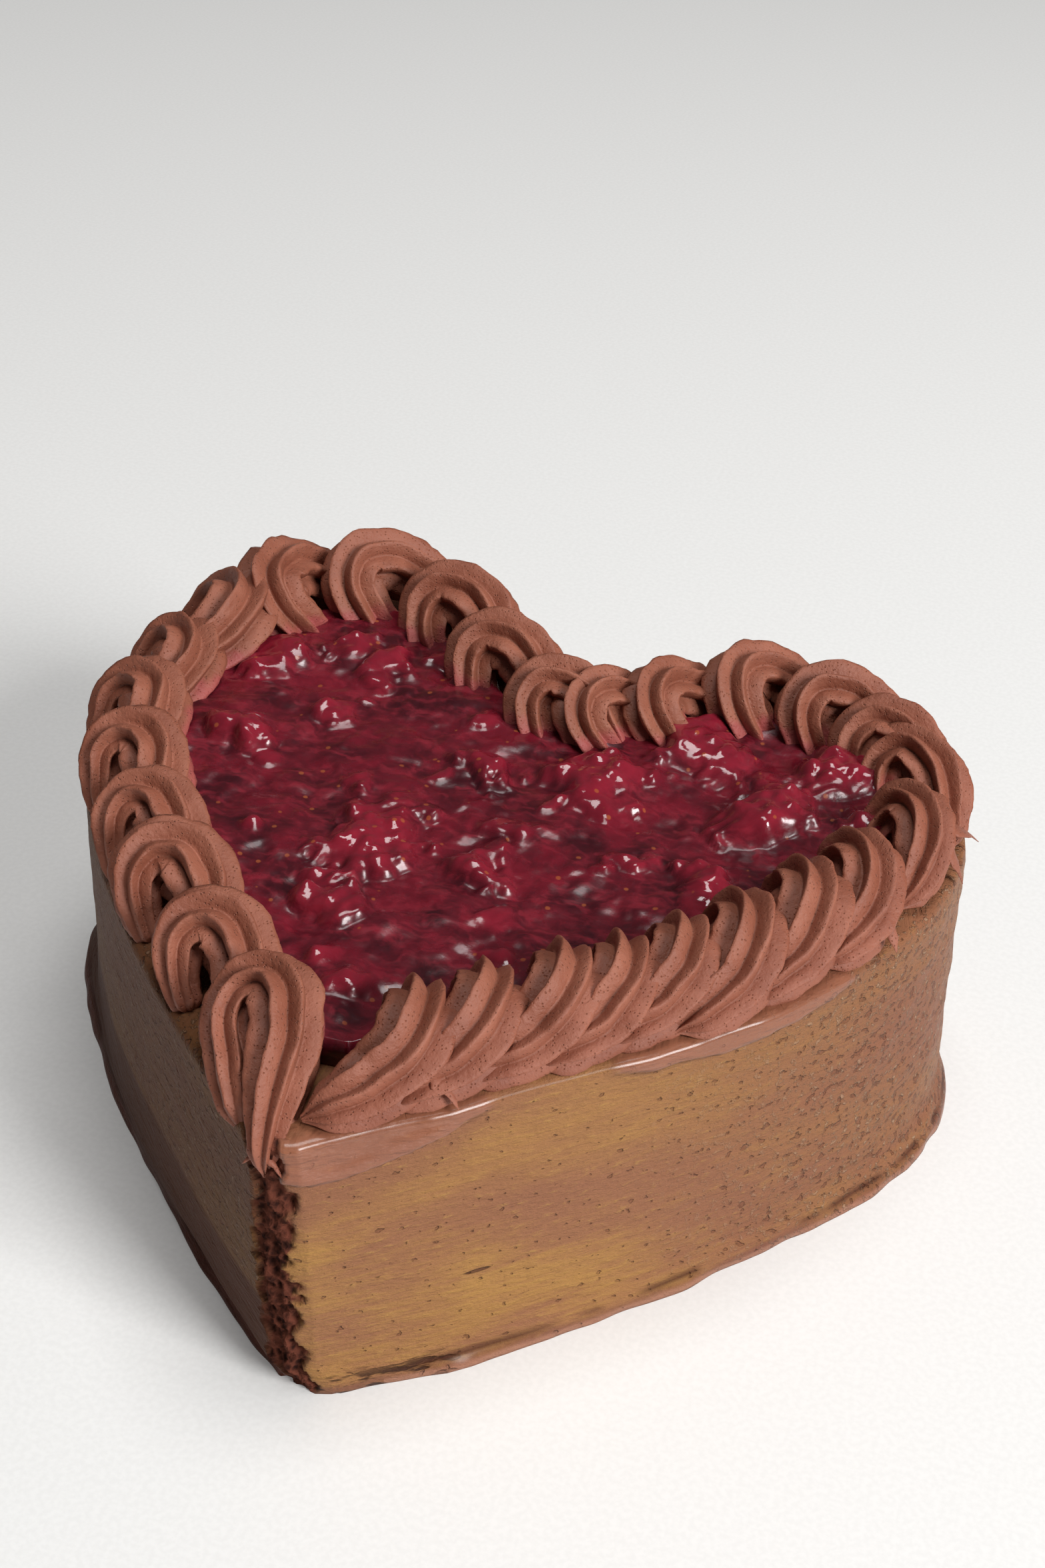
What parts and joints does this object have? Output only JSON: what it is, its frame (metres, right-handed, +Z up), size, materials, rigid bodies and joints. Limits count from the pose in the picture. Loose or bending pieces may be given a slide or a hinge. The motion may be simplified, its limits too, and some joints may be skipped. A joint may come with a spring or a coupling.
{
  "type": "heart-shaped cake",
  "caption": "Heart-shaped chocolate cake with a smooth glazed wall, a border of piped buttercream shells and a glossy berry compote filling its top.",
  "frame": {"origin": "on the base plane, in the middle of the heart, 78 mm behind its tip", "axes": "+Z up; the tip points to -Y and the cleft between the lobes to +Y; +X is the right-hand lobe seen from the tip"},
  "size_m": [0.1841, 0.1704, 0.0803],
  "materials": {
    "glaze": "satin cocoa glaze with smear marks, no plastic in the real one",
    "cream": "soft matte chocolate buttercream, no plastic in the real one",
    "compote": "wet, glossy dark red berry compote, no plastic in the real one"
  },
  "bodies": {
    "root": {"cake": "glaze", "compote": "compote", "shell_right_01": "cream", "shell_right_02": "cream", "shell_right_03": "cream", "shell_right_04": "cream", "shell_right_05": "cream", "shell_right_06": "cream", "shell_right_07": "cream", "shell_right_08": "cream", "shell_right_09": "cream", "shell_right_10": "cream", "shell_right_11": "cream", "shell_right_12": "cream", "shell_right_13": "cream", "shell_right_14": "cream", "shell_right_15": "cream", "shell_right_16": "cream", "shell_right_17": "cream", "shell_right_18": "cream", "shell_right_19": "cream", "shell_right_20": "cream", "shell_left_01": "cream", "shell_left_02": "cream", "shell_left_03": "cream", "shell_left_04": "cream", "shell_left_05": "cream", "shell_left_06": "cream", "shell_left_07": "cream", "shell_tip": "cream"}
  },
  "joints": []
}
